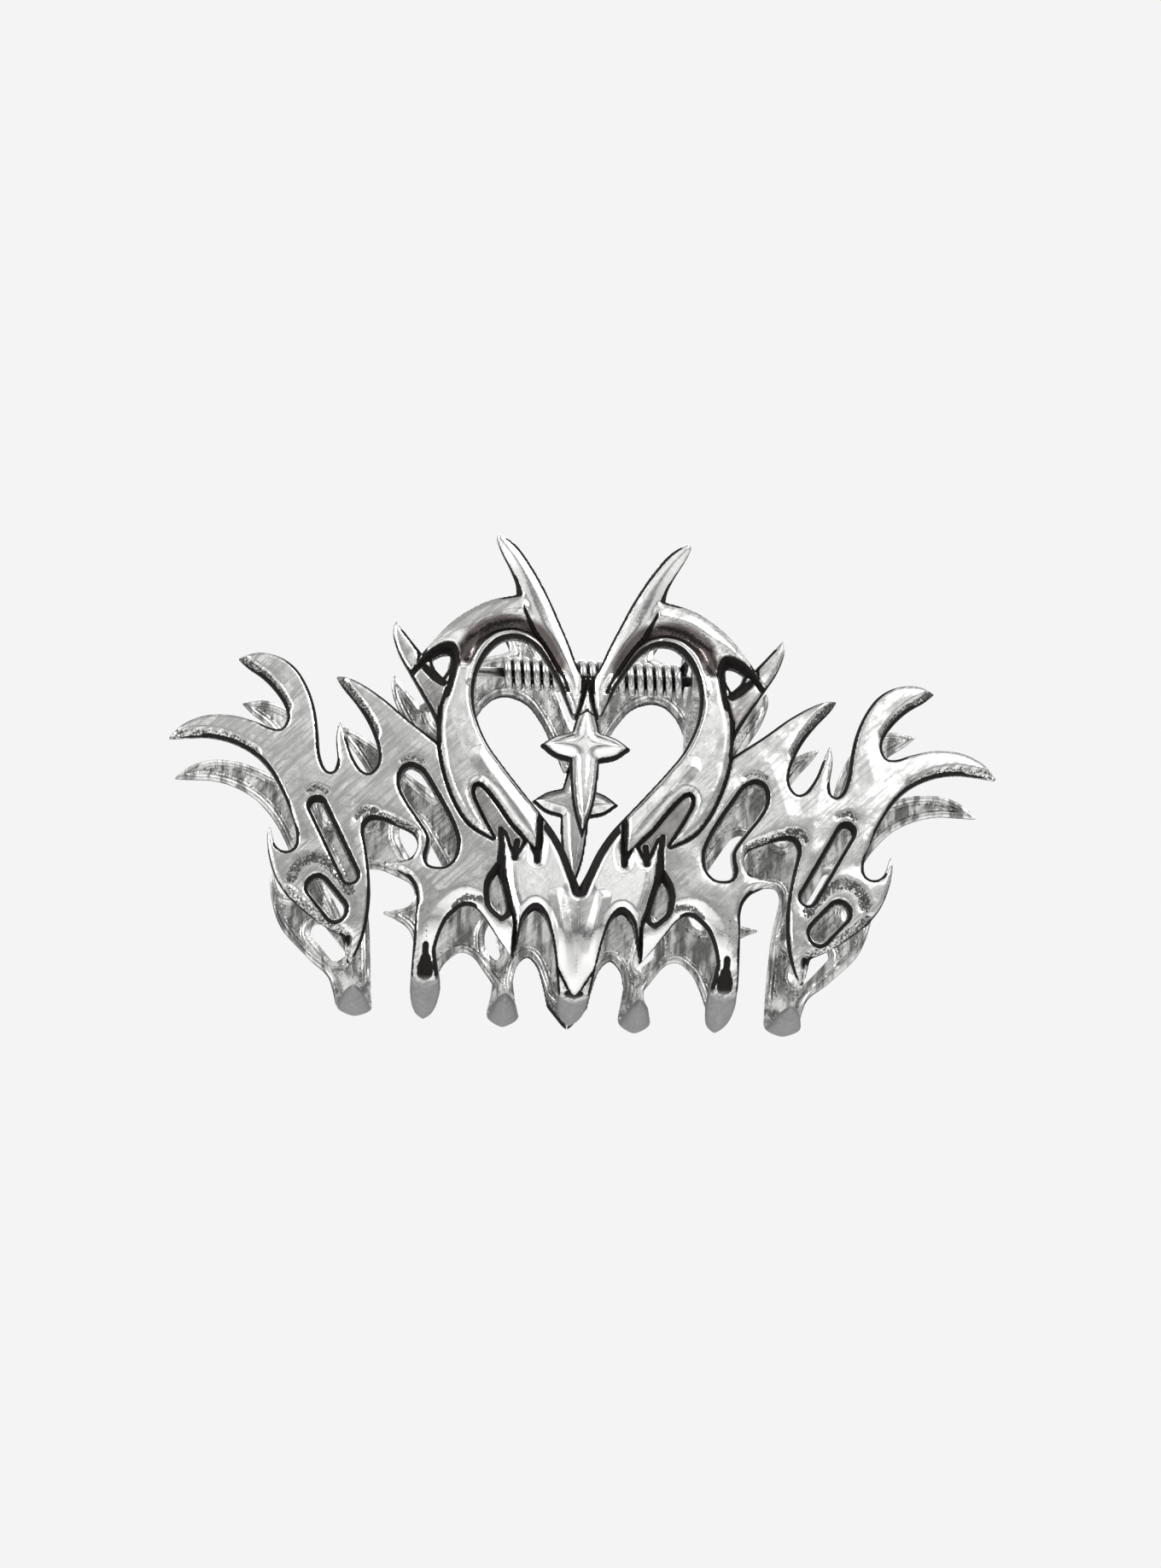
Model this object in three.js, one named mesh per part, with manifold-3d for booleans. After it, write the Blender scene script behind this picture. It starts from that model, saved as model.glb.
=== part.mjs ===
// Ornamental spring claw clip for hair: two cast jaws, a hinge pin and a torsion spring.
// Millimetres. X runs along the hinge, the front jaw is on the -Y side, +Z is up.
import * as THREE from 'three';
import * as BufferGeometryUtils from 'three/addons/utils/BufferGeometryUtils.js';
import Module from 'manifold-3d';

const wasm = await Module();
wasm.setup();

// Driving dimensions
const HALF_GAP = 11.2;        // hinge axis plane to the inner face of a jaw
const PLATE = 1.7;            // thickness of the cast plate
const RELIEF = 0.9;           // height of the raised bands above the plate
const BOW = 3.0;              // how far the wing tips curve back towards the other jaw
const HALF_WIDTH = 49.6;      // middle to wing tip
const HINGE_HEIGHT = 23;      // origin, in the middle of the hair space, up to the hinge axis
const PIN_RADIUS = 0.6;
const BORE_RADIUS = 0.65;
const EAR = { radius: 2.3, thickness: 1.2, frontX: 14.6, backX: 13.1, rootTop: -1.2, rootLow: -8.6 };
const COIL = { left: -10.1, right: 12.7, radius: 1.6, wire: 0.5, wholeTurns: 19, legLean: 11.5 };
const PIN_END = 16.1;         // middle of the pin to the inner side of its head
const PIN_HEAD = { radius: 1.15, length: 0.6 };

// Side profile of a jaw, as arcs that start at hinge height: [arc length, turn in degrees].
// A positive turn upwards leans the jaw outwards, a positive turn downwards curls it inwards.
const RISE = [[4, 6], [12, 14]];
const DROP = [[10, -4], [24, 7], [9.9, 76], [13, 26]];

// Teeth: middle of the tooth along X, and how far its tip is down the side profile
const FRONT_TEETH = [0, 17.6];
const BACK_TEETH = [8, 26];
const TOOTH_TIP = -55.5;

const CHORD = 1.7;            // spacing of the points along a smooth outline
const FLATNESS = 0.12;        // largest error of an edge once the plate is bent

// ---------------------------------------------------------------- outlines

// Each stroke is a smooth curve through its points; strokes meet in sharp corners.
function outline(strokes) {
  const points = [];
  for (const stroke of strokes) {
    const curve = new THREE.SplineCurve(stroke.map(([x, y]) => new THREE.Vector2(x, y)));
    const even = Math.max(stroke.length - 1, Math.round(curve.getLength() / CHORD));
    points.push(...curve.getSpacedPoints(stroke.length === 2 ? 1 : even).slice(0, -1));
  }
  return points;
}

const mirrored = (strokes) => strokes.map((stroke) => stroke.map(([x, y]) => [-x, y]).reverse()).reverse();

// A closed outline from the strokes of its right half, which run from the middle line to the middle line
const symmetric = (strokes) => outline([...strokes, ...mirrored(strokes)]);

function stadium(x0, y0, x1, y1, radius) {
  const along = Math.atan2(y1 - y0, x1 - x0);
  const path = new THREE.Path();
  path.absarc(x0, y0, radius, along + Math.PI / 2, along + Math.PI * 1.5);
  path.absarc(x1, y1, radius, along - Math.PI / 2, along + Math.PI / 2);
  return path.getSpacedPoints(16).slice(0, -1);
}

// The right half of a jaw, clockwise from the middle line between the horns
const HORN_FOOT = [[0, -3.6], [0.8, -3.5]];
const HORN = [[1.5, -2.2], [2.5, 0.3], [3.7, 3], [5.1, 6], [7, 9.3], [9, 12], [10.8, 13.4]];
const HORN_TIP = [[10.8, 13.4], [11.5, 13.6], [11.7, 12.9]];
const HORN_BACK = [[11.7, 12.9], [11, 11.3], [10, 9.5], [9.2, 7.8], [8.6, 6.2]];
const ARC_TOP = [[8.6, 6.2], [11.5, 5.5], [13.5, 4.6], [15.8, 3], [17.6, 1.1], [18.9, -0.6], [19.9, -1.9]];
const BARB_TOP = [[19.9, -1.9], [21.4, 0], [23.2, 2.3]];
const BARB_LOW = [[23.2, 2.3], [23.5, 0.8], [22.7, -1.7], [21.2, -4.3], [19.6, -7], [18.3, -9.3], [17.6, -11],
  [17.4, -13]];
const WING_UPPER_TOP = [[17.4, -13], [19, -11.8], [21.5, -9.9], [24, -7.8], [26.5, -6.1], [28.6, -5.1],
  [30, -4.8]];
const WING_UPPER_LOW = [[30, -4.8], [29.2, -6.1], [27.6, -8], [26.2, -10], [25.2, -12], [24.5, -14.2],
  [24.5, -15.9], [25.4, -17], [26.5, -16.6], [27.6, -14.8], [28.4, -12.6], [29.2, -10.6]];
const WING_MIDDLE_TOP = [[29.2, -10.6], [29.6, -12.5], [29.3, -15.2], [29.4, -16.6], [30.1, -17.05],
  [30.9, -16.4], [31.5, -14.6], [31.8, -12], [32.3, -9.2], [33.3, -6.5], [34.8, -4.2], [36.8, -2.8],
  [39.3, -2.3], [41.8, -2.9]];
const WING_MIDDLE_LOW = [[41.8, -2.9], [40.6, -4], [38.6, -5.4], [36.9, -7.2], [35.8, -9], [35.5, -10.6],
  [36.1, -11.8], [37.3, -11.8], [39.3, -11], [42, -10.3], [45, -10.3], [47.6, -11.3], [HALF_WIDTH, -13.1]];
const WING_LOWER_LOW = [[HALF_WIDTH, -13.1], [47.6, -13], [44.8, -12.9], [42, -13.5], [39.3, -14.9],
  [37.2, -17], [35.5, -19.8], [34.2, -22.8], [33.6, -25], [33.8, -26.3], [34.8, -26.8], [36, -26.1],
  [36.8, -23.8]];
const LEAF_OUTER = [[36.8, -23.8], [37.1, -25], [36.8, -27.2], [35.9, -29.8], [34.4, -32]];
const LEAF_EDGE = [[34.4, -32], [32, -34], [29.8, -35.4], [27.6, -36.4]];
const LEAF_SPIKE = [[27.6, -36.4], [27.2, -38.2], [26.9, -39.9]];
const LEAF_WAIST = [[31.8, -34.4], [29.5, -36.2], [28.6, -38.4]];
const LEAF_INNER = [[26.9, -39.9], [25.6, -37.6], [24.8, -34.8], [24.6, -31.5]];
const BAY = [[24.6, -31.5], [24.8, -29], [25.3, -26.2], [25.8, -23.8], [25.2, -22.5], [23.8, -22.5],
  [21.8, -23.2], [19.9, -24.1], [19.3, -25.5], [19.9, -26.9], [21.3, -27.5], [23.3, -27.9]];
const SPLASH = [[23.3, -27.9], [21.6, -28.6], [20.2, -29.4], [19.4, -30.5], [19.1, -32]];
const OUTER_ARCH = [[16.7, -37.4], [16.2, -35.6], [15.2, -33.7], [13.4, -32.3], [11.9, -32.8], [10.6, -34.3],
  [9.2, -36.1]];
const INNER_ARCH = [[6.9, -35.8], [6.4, -33.6], [5.2, -32.3], [4.1, -33.1], [3.1, -35.4], [2.5, -37.6]];

// Right halves of the heart-shaped window and of the four-pointed star that hangs in it
const HEART_LOBE = [[2.4, -7.2], [3.4, -5], [4.6, -2.8], [6, -0.8], [7.4, 0.3], [9, 0.7], [10.6, 0.3],
  [11.9, -0.9], [12.9, -2.7], [13.5, -5], [13.5, -7.5], [12.9, -10], [11.6, -12.8], [9.6, -15.5],
  [7.4, -18.2], [5, -21]];
const HEART_POINT = [[5, -21], [3.5, -22.8], [2, -25.2], [0.95, -27.6], [0, -30]];
const HEART = [[[0, -8.6], [1.5, -8.9], ...HEART_LOBE], HEART_POINT];
const CROSS = [
  [[0, -4.4], [0.8, -7.4], [1.7, -10.9]],
  [[1.7, -10.9], [3.6, -11.5], [5.4, -12.7]],
  [[5.4, -12.7], [3.7, -14], [1.8, -14.5]],
  [[1.8, -14.5], [1.6, -17.5], [1.1, -20.6], [0, -24]],
];
const CROSS_CORE = [
  [[0, -5.5], [0.5, -9], [0.7, -11.9]],
  [[0.7, -11.9], [4.2, -12.7]],
  [[4.2, -12.7], [0.8, -13.5]],
  [[0.8, -13.5], [0.6, -18], [0, -22.6]],
];

const BEAN_WINDOW = [[[20.4, -15.7], [19.1, -16.4], [17.6, -18.6], [16.2, -20.9], [15.1, -23], [14.5, -24.9],
  [14.8, -26.8], [15.8, -27.9], [17, -28.1], [18, -27.8], [18.4, -26.8], [18.1, -25.4], [18.2, -24.2],
  [19.6, -22.1], [20.9, -20.3], [21.8, -18.6], [21.9, -17.1], [21.3, -16], [20.4, -15.7]]];
const LENS_WINDOW = [
  [[9.6, -27.6], [10.6, -29.2], [10.8, -30.8], [10.4, -32.4], [9, -33.7]],
  [[9, -33.7], [8.3, -33], [8.6, -31], [9.6, -27.6]],
];
const ARC_WINDOW = [
  [[19, -2.2], [17.6, -1.4], [16.2, -1.3]],
  [[16.2, -1.3], [16.3, -3], [17.2, -4.9]],
  [[17.2, -4.9], [18.4, -3.6], [19, -2.2]],
];
const SLOT_WINDOW = [31.4, -21.2, 27.1, -29.4, 1.0];
const OVAL_WINDOW = [30.8, -31, 28.6, -33.5, 1.35];

// Raised ring: heart edge, horn and arc, with the arm and the hook that fork below it
const RING = [
  [[1.4, -8.2], [0.7, -6], [0.6, -4.2]],
  [[0.6, -4.2], ...HORN],
  HORN_TIP,
  HORN_BACK,
  ARC_TOP,
  [[19.9, -1.9], [20.8, -4]],
  [[20.8, -4], [19.2, -2.3], [17.8, -1.2], [16.5, -1]],
  [[16.5, -1], [15.9, -2.6], [16.5, -6], [17.3, -9.4], [17.2, -13], [16.5, -16.4], [15.1, -20], [13.2, -22.7],
    [10.5, -24.3]],
  [[10.5, -24.3], [12, -21.8], [13.2, -19.3], [13, -18], [12, -17.9], [10.2, -19.8], [8, -22.7],
    [5.2, -25.6]],
  [[5.2, -25.6], [5, -23.5], [5, -21]],
  [...HEART_LOBE.toReversed(), [1.4, -8.2]],
];

// Raised crest below the heart, from the middle of its V out to the third flame and down to its points
const CREST = [
  [...HEART_POINT.slice(1).reverse(), [4.8, -21.4]],
  [[4.8, -21.4], [4.7, -24.5], [5.1, -27], [6.3, -24.4]],
  [[6.3, -24.4], [7.8, -26.5], [9.2, -23.7]],
  [[9.2, -23.7], [9, -26], [8.7, -29], [8.1, -31.4], [7.4, -33.4]],
  [[7.4, -33.4], [6.4, -32.6], [5.2, -31.4], [4, -32.4], [2.7, -35.2], [1.5, -38.6], [0, -41.2]],
];

// ---------------------------------------------------------------- solids

function toSolid(geometry) {
  geometry.deleteAttribute('normal');
  geometry.deleteAttribute('uv');
  const merged = BufferGeometryUtils.mergeVertices(geometry, 1e-5);
  const vertProperties = new Float32Array(merged.attributes.position.array);
  const triVerts = new Uint32Array(merged.index.array);
  return new wasm.Manifold(new wasm.Mesh({ numProp: 3, vertProperties, triVerts }));
}

function toGeometry(solid) {
  const mesh = solid.getMesh();
  const geometry = new THREE.BufferGeometry();
  geometry.setAttribute('position', new THREE.BufferAttribute(new Float32Array(mesh.vertProperties), 3));
  geometry.setIndex(new THREE.BufferAttribute(new Uint32Array(mesh.triVerts), 1));
  geometry.computeVertexNormals();
  return geometry;
}

const union = (solids) => solids.reduce((whole, solid) => whole.add(solid));

// A flat layer between two heights above the jaw's inner face
function layer(points, low, high) {
  const shape = new THREE.Shape(points);
  const geometry = new THREE.ExtrudeGeometry(shape, { depth: high - low, bevelEnabled: false });
  geometry.translate(0, 0, low);
  return toSolid(geometry);
}

const flipped = (points) => points.map((p) => new THREE.Vector2(-p.x, p.y)).reverse();
const both = (points) => [points, flipped(points)];

// ---------------------------------------------------------------- bending

// Position and outward direction on the side profile at a signed distance from hinge height
function profileAt(distance) {
  const arcs = distance > 0 ? RISE : DROP;
  const heading = distance > 0 ? 1 : -1;
  let left = Math.abs(distance);
  let angle = 0;
  const at = { out: HALF_GAP, up: 0 };
  for (const [length, turn] of arcs) {
    const run = Math.min(left, length);
    const swing = THREE.MathUtils.degToRad(turn) * run / length;
    const chord = swing ? run * Math.sin(swing / 2) / (swing / 2) : run;
    at.out += heading * chord * Math.sin(angle + swing / 2);
    at.up += heading * chord * Math.cos(angle + swing / 2);
    angle += swing;
    left -= run;
  }
  return { ...at, normalOut: Math.cos(angle), normalUp: -Math.sin(angle) };
}

// Flat pattern (across, along the profile, height above the inner face) to a place on the front jaw
function bendPoint(p) {
  const side = profileAt(p.y);
  const bow = BOW * (Math.abs(p.x) / HALF_WIDTH) ** 2.5;
  return new THREE.Vector3(p.x, bow - side.out - p.z * side.normalOut, side.up + p.z * side.normalUp);
}

// Splits every edge that would leave the bent surface by more than FLATNESS
function bend(solid) {
  const mesh = solid.getMesh();
  const flat = [];
  for (let i = 0; i < mesh.vertProperties.length; i += 3) {
    flat.push(new THREE.Vector3(...mesh.vertProperties.slice(i, i + 3)));
  }
  const bent = flat.map(bendPoint);
  let triangles = [];
  for (let i = 0; i < mesh.triVerts.length; i += 3) {
    triangles.push([...mesh.triVerts.slice(i, i + 3)]);
  }
  for (let pass = 0; pass < 6; pass++) {
    const middles = new Map();
    const middle = (a, b) => {
      const key = Math.min(a, b) + '_' + Math.max(a, b);
      if (!middles.has(key)) {
        const point = flat[a].clone().lerp(flat[b], 0.5);
        const target = bendPoint(point);
        const error = target.distanceTo(bent[a].clone().lerp(bent[b], 0.5));
        middles.set(key, error > FLATNESS ? flat.length : -1);
        if (error > FLATNESS) {
          flat.push(point);
          bent.push(target);
        }
      }
      return middles.get(key);
    };
    const divided = ([a, b, c]) => split([a, b, c], [middle(a, b), middle(b, c), middle(c, a)]);
    triangles = triangles.flatMap(divided);
    if ([...middles.values()].every((m) => m < 0)) break;
  }
  const geometry = new THREE.BufferGeometry().setFromPoints(bent);
  geometry.setIndex(triangles.flat());
  return toSolid(geometry);
}

// One triangle cut at the middles of its marked edges; middles[i] lies between corners i and i + 1
function split([a, b, c], [ab, bc, ca]) {
  const marked = [ab, bc, ca].filter((m) => m >= 0).length;
  if (marked === 0) return [[a, b, c]];
  if (marked === 3) return [[a, ab, ca], [ab, b, bc], [ca, bc, c], [ab, bc, ca]];
  if (marked === 1) {
    if (ab >= 0) return [[a, ab, c], [ab, b, c]];
    return split([b, c, a], [bc, ca, ab]);
  }
  if (ca < 0) return [[ab, b, bc], [a, ab, bc], [a, bc, c]];
  return split([b, c, a], [bc, ca, ab]);
}

// ---------------------------------------------------------------- jaws

// The strokes of a curled tooth and its foot, from the outline points before it to the one after it.
// Without a point after it the tooth stands on the middle line, and the stroke ends at its tip.
function tooth(before, middle, halfWidth, after) {
  const flank = [[1, -42], [0.94, -46], [0.76, -50], [0.52, -53.5]];
  const outer = flank.map(([share, y]) => [middle + halfWidth * share, y]);
  const inner = outer.map(([x, y]) => [2 * middle - x, y]).reverse();
  const rise = [...before, ...outer, [middle, TOOTH_TIP]];
  return after ? [[...rise, ...inner, after]] : [rise];
}

const spike = (before, tip, after) => [[before, tip], [tip, after]];

function jawOutline(teeth) {
  const arch = OUTER_ARCH.at(-1);
  const leaf = teeth.includes(26)
    ? tooth([LEAF_OUTER.at(-1), ...LEAF_WAIST], 26, 2.1, LEAF_INNER.at(-1))
    : [LEAF_EDGE, LEAF_SPIKE, LEAF_INNER];
  const side = teeth.includes(17.6)
    ? tooth([SPLASH.at(-1)], 17.6, 1.75, OUTER_ARCH[0])
    : spike(SPLASH.at(-1), [17.8, -39.8], OUTER_ARCH[0]);
  const near = teeth.includes(8)
    ? tooth([arch], 8, 1.9, INNER_ARCH[0])
    : spike(arch, [7.4, -38], INNER_ARCH[0]);
  const centre = teeth.includes(0) ? tooth([INNER_ARCH.at(-1)], 0, 1.9) : [[INNER_ARCH.at(-1), [0, -40.8]]];
  return symmetric([[...HORN_FOOT, ...HORN], HORN_TIP, HORN_BACK, ARC_TOP, BARB_TOP, BARB_LOW,
    WING_UPPER_TOP, WING_UPPER_LOW, WING_MIDDLE_TOP, WING_MIDDLE_LOW, WING_LOWER_LOW, LEAF_OUTER, ...leaf,
    BAY, SPLASH, ...side, OUTER_ARCH, ...near, INNER_ARCH, ...centre]);
}

// Hinge ear: a tab from the plate to a round end on the hinge axis
function ear(startX, endX) {
  const shape = new THREE.Shape();
  shape.absarc(0, 0, EAR.radius, THREE.MathUtils.degToRad(-125), THREE.MathUtils.degToRad(100));
  shape.lineTo(-HALF_GAP - 1, EAR.rootTop);
  shape.lineTo(-HALF_GAP - 1, EAR.rootLow);
  const options = { depth: endX - startX, bevelEnabled: false, curveSegments: 8 };
  const geometry = new THREE.ExtrudeGeometry(shape, options);
  geometry.rotateY(Math.PI / 2).rotateX(Math.PI / 2);
  geometry.translate(startX, 0, 0);
  return toSolid(geometry);
}

function boreCutter() {
  const geometry = new THREE.CylinderGeometry(BORE_RADIUS, BORE_RADIUS, 2 * HALF_WIDTH, 24);
  geometry.rotateZ(Math.PI / 2);
  return toSolid(geometry);
}

// A jaw as it stands on the front side: plate with its windows, raised bands, ears and the hinge bore
function castJaw(teeth, earX) {
  const windows = [
    symmetric(HEART),
    ...[BEAN_WINDOW, LENS_WINDOW, ARC_WINDOW].flatMap((strokes) => both(outline(strokes))),
    ...[SLOT_WINDOW, OVAL_WINDOW].flatMap((size) => both(stadium(...size))),
  ];
  const cuts = union(windows.map((points) => layer(points, -1, PLATE + 1)));
  const flat = union([
    layer(jawOutline(teeth), 0, PLATE).subtract(cuts),
    ...both(outline(RING)).map((points) => layer(points, 0.3, PLATE + RELIEF)),
    layer(symmetric(CREST), 0.3, PLATE + RELIEF),
    layer(symmetric(CROSS), 0.2, PLATE + RELIEF),
    layer(symmetric(CROSS_CORE), 0.4, PLATE + RELIEF + 0.7),
  ]);
  const ears = [ear(earX, earX + EAR.thickness), ear(-earX - EAR.thickness, -earX)];
  return union([bend(flat), ...ears]).subtract(boreCutter());
}

// ---------------------------------------------------------------- pin and spring

function hingePin() {
  const end = PIN_END + PIN_HEAD.length;
  const { radius } = PIN_HEAD;
  const half = [[0, end], [radius - 0.3, end], [radius, end - 0.3], [radius, PIN_END], [PIN_RADIUS, PIN_END]];
  const profile = [...half, ...half.map(([r, x]) => [r, -x]).reverse()].reverse();
  const geometry = new THREE.LatheGeometry(profile.map(([r, x]) => new THREE.Vector2(r, x)), 24);
  geometry.rotateZ(-Math.PI / 2);
  return toSolid(geometry);
}

// Close-wound coil on the pin. It starts at the left with a straight leg to the back jaw's inner face
// and ends at the right with one to the front jaw's; both legs rise from the top of the coil.
class SpringWire extends THREE.Curve {
  constructor() {
    super();
    this.start = THREE.MathUtils.degToRad(90 + COIL.legLean);
    this.sweep = 2 * Math.PI * COIL.wholeTurns - 2 * THREE.MathUtils.degToRad(COIL.legLean);
    this.width = COIL.right - COIL.left - 2 * COIL.wire;
    this.coilLength = Math.hypot(this.sweep * COIL.radius, this.width);
    this.leg = HALF_GAP + COIL.wire / 2;
    this.total = this.coilLength + 2 * this.leg;
  }

  getPoint(t, target = new THREE.Vector3()) {
    const along = t * this.total - this.leg;
    const share = THREE.MathUtils.clamp(along / this.coilLength, 0, 1);
    const beyond = along - share * this.coilLength;
    const angle = this.start + share * this.sweep;
    return target.set(
      COIL.left + COIL.wire + share * this.width,
      COIL.radius * Math.cos(angle) - beyond * Math.sin(angle),
      COIL.radius * Math.sin(angle) + beyond * Math.cos(angle),
    );
  }
}

function torsionSpring() {
  const wire = new SpringWire();
  const circle = new THREE.Path().absarc(0, 0, COIL.wire, 0, 2 * Math.PI);
  const section = new THREE.Shape(circle.getSpacedPoints(7).slice(0, -1));
  const geometry = new THREE.ExtrudeGeometry(section, { steps: 290, extrudePath: wire, bevelEnabled: false });
  return toSolid(geometry);
}

// ---------------------------------------------------------------- assembly

const silver = new THREE.MeshStandardMaterial({ color: 0xb9b8b4, roughness: 0.32, metalness: 1 });
const steel = new THREE.MeshStandardMaterial({ color: 0xc9c9c7, roughness: 0.22, metalness: 1 });

const group = new THREE.Group();

function addPiece(name, solid, material, turn = 0) {
  const mesh = new THREE.Mesh(toGeometry(solid), material);
  mesh.name = name;
  mesh.rotation.z = turn;
  mesh.position.z = HINGE_HEIGHT;
  group.add(mesh);
}

addPiece('front_jaw', castJaw(FRONT_TEETH, EAR.frontX), silver);
addPiece('back_jaw', castJaw(BACK_TEETH, EAR.backX), silver, Math.PI);
addPiece('hinge_pin', hingePin(), steel);
addPiece('torsion_spring', torsionSpring(), steel);

export default group;
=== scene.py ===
"""Ornamental silver claw clip for hair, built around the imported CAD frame."""
import math

import bpy
import numpy as np
import openvdb
from mathutils import Matrix, Vector


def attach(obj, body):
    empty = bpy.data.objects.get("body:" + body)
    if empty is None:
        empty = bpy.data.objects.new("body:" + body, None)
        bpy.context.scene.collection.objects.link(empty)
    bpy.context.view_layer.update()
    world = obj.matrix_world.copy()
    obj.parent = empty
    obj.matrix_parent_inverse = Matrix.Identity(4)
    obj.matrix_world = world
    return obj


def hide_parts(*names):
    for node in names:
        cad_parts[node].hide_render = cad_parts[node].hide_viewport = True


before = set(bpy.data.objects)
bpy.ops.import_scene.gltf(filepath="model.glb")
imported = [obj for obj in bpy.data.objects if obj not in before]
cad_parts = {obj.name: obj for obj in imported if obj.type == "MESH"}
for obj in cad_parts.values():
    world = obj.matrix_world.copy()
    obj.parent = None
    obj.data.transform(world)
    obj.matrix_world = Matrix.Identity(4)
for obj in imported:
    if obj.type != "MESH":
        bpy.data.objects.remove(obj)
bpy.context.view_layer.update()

# Lengths of the clip in millimetres, as in the CAD part
MM = 0.001
HALF_GAP = 11.2
PLATE = 1.7
BOW = 3.0
BOW_POWER = 2.5
HALF_WIDTH = 49.6
HINGE_HEIGHT = 23.0
EAR_RADIUS, EAR_THICKNESS, FRONT_EAR, BACK_EAR = 2.3, 1.2, 14.6, 13.1
EAR_ROOT_TOP, EAR_ROOT_LOW, EAR_INTO_PLATE = -1.2, -8.6, 1.0
PIN_RADIUS, PIN_END, HEAD_RADIUS, HEAD_LENGTH = 0.6, 16.1, 1.15, 0.6
COIL_LEFT, COIL_RIGHT, COIL_RADIUS, WIRE = -10.1, 12.7, 1.6, 0.5
COIL_TURNS, LEG_LEAN = 19, math.radians(11.5)

# Side profile of a jaw from the hinge up and from the hinge down, as arcs of (length, degrees turned)
RISE = [(4, 6), (12, 14)]
DROP = [(10, -4), (24, 7), (9.9, 76), (13, 26)]

# Middles of the teeth across the right half, their half widths, and the flank that they share
# as (share of the half width, height); the middle tooth's root is a little lower than the others'
MIDDLE_TOOTH, INNER_TOOTH, SIDE_TOOTH, LEAF_TOOTH = 0, 8, 17.6, 26
TOOTH_HALF_WIDTH = {MIDDLE_TOOTH: 1.9, INNER_TOOTH: 1.9, SIDE_TOOTH: 1.75, LEAF_TOOTH: 2.1}
FRONT_TEETH = (MIDDLE_TOOTH, SIDE_TOOTH)
BACK_TEETH = (INNER_TOOTH, LEAF_TOOTH)
TOOTH_FLANK = [(1, -42), (0.94, -46), (0.76, -50), (0.52, -53.5)]
TOOTH_TIP = -55.5
TOOTH_ROOT, MIDDLE_TOOTH_DROP = 39.5, 1.6

# Sculpting grid over the right half of the flattened jaw: across, along the profile from the
# hinge's height, and levels above the inner face, where the windows are narrower by the draft
CELL = 0.14
DRAFT = 0.42
ROUNDING = 0.16
U_END, V_LOW, V_HIGH, W_HIGH = 50.25, -56.4, 14.4, 3.6
U = np.arange(0, U_END, CELL)
V = np.arange(V_LOW, V_HIGH, CELL)
LEVELS = np.arange(-2 * CELL, W_HIGH, CELL)
UU, VV = np.meshgrid(U, V, indexing="ij")

# Signed distance that leaves a region out
NOWHERE = -9


# ------------------------------------------------------------------ outlines of the right half

HORN = [(0, -3.6), (0.8, -3.5), (1.5, -2.2), (2.5, 0.3), (3.7, 3), (5.1, 6), (7, 9.3), (9, 12),
        (10.8, 13.4)]
HORN_TIP = [(10.8, 13.4), (11.5, 13.6), (11.7, 12.9)]
HORN_BACK = [(11.7, 12.9), (11, 11.3), (10, 9.5), (9.2, 7.8), (8.6, 6.2)]
ARC_TOP = [(8.6, 6.2), (11.5, 5.5), (13.5, 4.6), (15.8, 3), (17.6, 1.1), (18.9, -0.6), (19.9, -1.9)]
BARB_TOP = [(19.9, -1.9), (21.4, 0), (23.2, 2.3)]
BARB_LOW = [(23.2, 2.3), (23.5, 0.8), (22.7, -1.7), (21.2, -4.3), (19.6, -7), (18.3, -9.3),
            (17.6, -11), (17.4, -13)]
WING_UPPER_TOP = [(17.4, -13), (19, -11.8), (21.5, -9.9), (24, -7.8), (26.5, -6.1), (28.6, -5.1),
                  (30, -4.8)]
WING_UPPER_LOW = [(30, -4.8), (29.2, -6.1), (27.6, -8), (26.2, -10), (25.2, -12), (24.5, -14.2),
                  (24.5, -15.9), (25.4, -17), (26.5, -16.6), (27.6, -14.8), (28.4, -12.6), (29.2, -10.6)]
WING_MIDDLE_TOP = [(29.2, -10.6), (29.6, -12.5), (29.3, -15.2), (29.4, -16.6), (30.1, -17.05),
                   (30.9, -16.4), (31.5, -14.6), (31.8, -12), (32.3, -9.2), (33.3, -6.5),
                   (34.8, -4.2), (36.8, -2.8), (39.3, -2.3), (41.8, -2.9)]
WING_MIDDLE_LOW = [(41.8, -2.9), (40.6, -4), (38.6, -5.4), (36.9, -7.2), (35.8, -9), (35.5, -10.6),
                   (36.1, -11.8), (37.3, -11.8), (39.3, -11), (42, -10.3), (45, -10.3),
                   (47.6, -11.3), (HALF_WIDTH, -13.1)]
WING_LOWER_LOW = [(HALF_WIDTH, -13.1), (47.6, -13), (44.8, -12.9), (42, -13.5), (39.3, -14.9),
                  (37.2, -17), (35.5, -19.8), (34.2, -22.8), (33.6, -25), (33.8, -26.3),
                  (34.8, -26.8), (36, -26.1), (36.8, -23.8)]
LEAF_OUTER = [(36.8, -23.8), (37.1, -25), (36.8, -27.2), (35.9, -29.8), (34.4, -32)]
LEAF_EDGE = [(34.4, -32), (32, -34), (29.8, -35.4), (27.6, -36.4)]
LEAF_SPIKE = [(27.6, -36.4), (27.2, -38.2), (26.9, -39.9)]
LEAF_INNER = [(26.9, -39.9), (25.6, -37.6), (24.8, -34.8), (24.6, -31.5)]
LEAF_WAIST = [(31.8, -34.4), (29.5, -36.2), (28.6, -38.4)]
BAY = [(24.6, -31.5), (24.8, -29), (25.3, -26.2), (25.8, -23.8), (25.2, -22.5), (23.8, -22.5),
       (21.8, -23.2), (19.9, -24.1), (19.3, -25.5), (19.9, -26.9), (21.3, -27.5), (23.3, -27.9)]
SPLASH = [(23.3, -27.9), (21.6, -28.6), (20.2, -29.4), (19.4, -30.5), (19.1, -32)]
SIDE_PRONG = (17.8, -39.8)
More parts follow.
